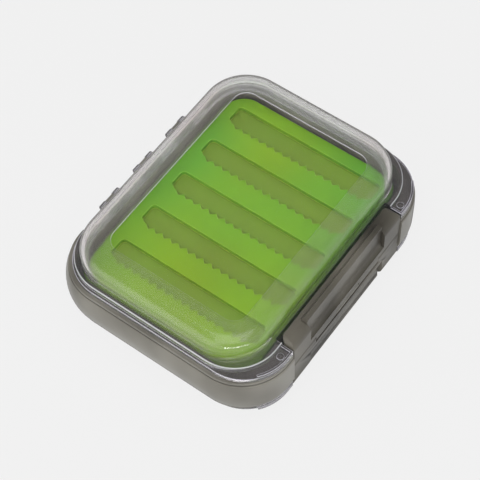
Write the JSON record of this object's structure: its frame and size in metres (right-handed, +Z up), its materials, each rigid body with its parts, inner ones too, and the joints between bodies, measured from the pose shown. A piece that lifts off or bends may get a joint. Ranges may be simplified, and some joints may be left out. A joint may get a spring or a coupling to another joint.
{
  "type": "double-sided fly box",
  "caption": "Two-sided case with a smoky mid frame, clear domed lids hinged on one long side, toothed silicone inserts and a pair of hooked latches on a shared pin.",
  "frame": {"origin": "centre of the box's footprint, on the face of the lower window that it rests on", "axes": "+X along the box, +Y towards the hinge side, away from the latches, +Z up through the upper window"},
  "size_m": [0.1258, 0.1018, 0.05],
  "materials": {
    "smoky_plastic": "translucent smoke tint, glossy",
    "clear_plastic": "clear, polished",
    "green_silicone": "soft satin silicone",
    "steel": "plain"
  },
  "bodies": {
    "frame": {"center_frame": "smoky_plastic", "top_insert": "green_silicone", "bottom_insert": "green_silicone", "latch_pin": "steel", "top_hinge_pin_1": "steel", "top_hinge_pin_2": "steel", "top_hinge_pin_3": "steel", "bottom_hinge_pin_1": "steel", "bottom_hinge_pin_2": "steel", "bottom_hinge_pin_3": "steel"},
    "top_lid": {"top_lid": "clear_plastic"},
    "bottom_lid": {"bottom_lid": "clear_plastic"},
    "top_latch": {"top_latch": "smoky_plastic"},
    "bottom_latch": {"bottom_latch": "smoky_plastic"}
  },
  "joints": [
    {"name": "top_lid_hinge", "type": "hinge", "parent": "frame", "child": "top_lid", "pos_m": [0, 0.0486, 0.0352], "axis": [-1, 0, 0], "range_deg": [0, 120]},
    {"name": "bottom_lid_hinge", "type": "hinge", "parent": "frame", "child": "bottom_lid", "pos_m": [0, 0.0486, 0.0148], "axis": [1, 0, 0], "range_deg": [0, 120]},
    {"name": "top_latch_pivot", "type": "hinge", "parent": "frame", "child": "top_latch", "pos_m": [0, -0.0477, 0.025], "axis": [1, 0, 0], "range_deg": [0, 45]},
    {"name": "bottom_latch_pivot", "type": "hinge", "parent": "frame", "child": "bottom_latch", "pos_m": [0, -0.0477, 0.025], "axis": [-1, 0, 0], "range_deg": [0, 45]}
  ]
}
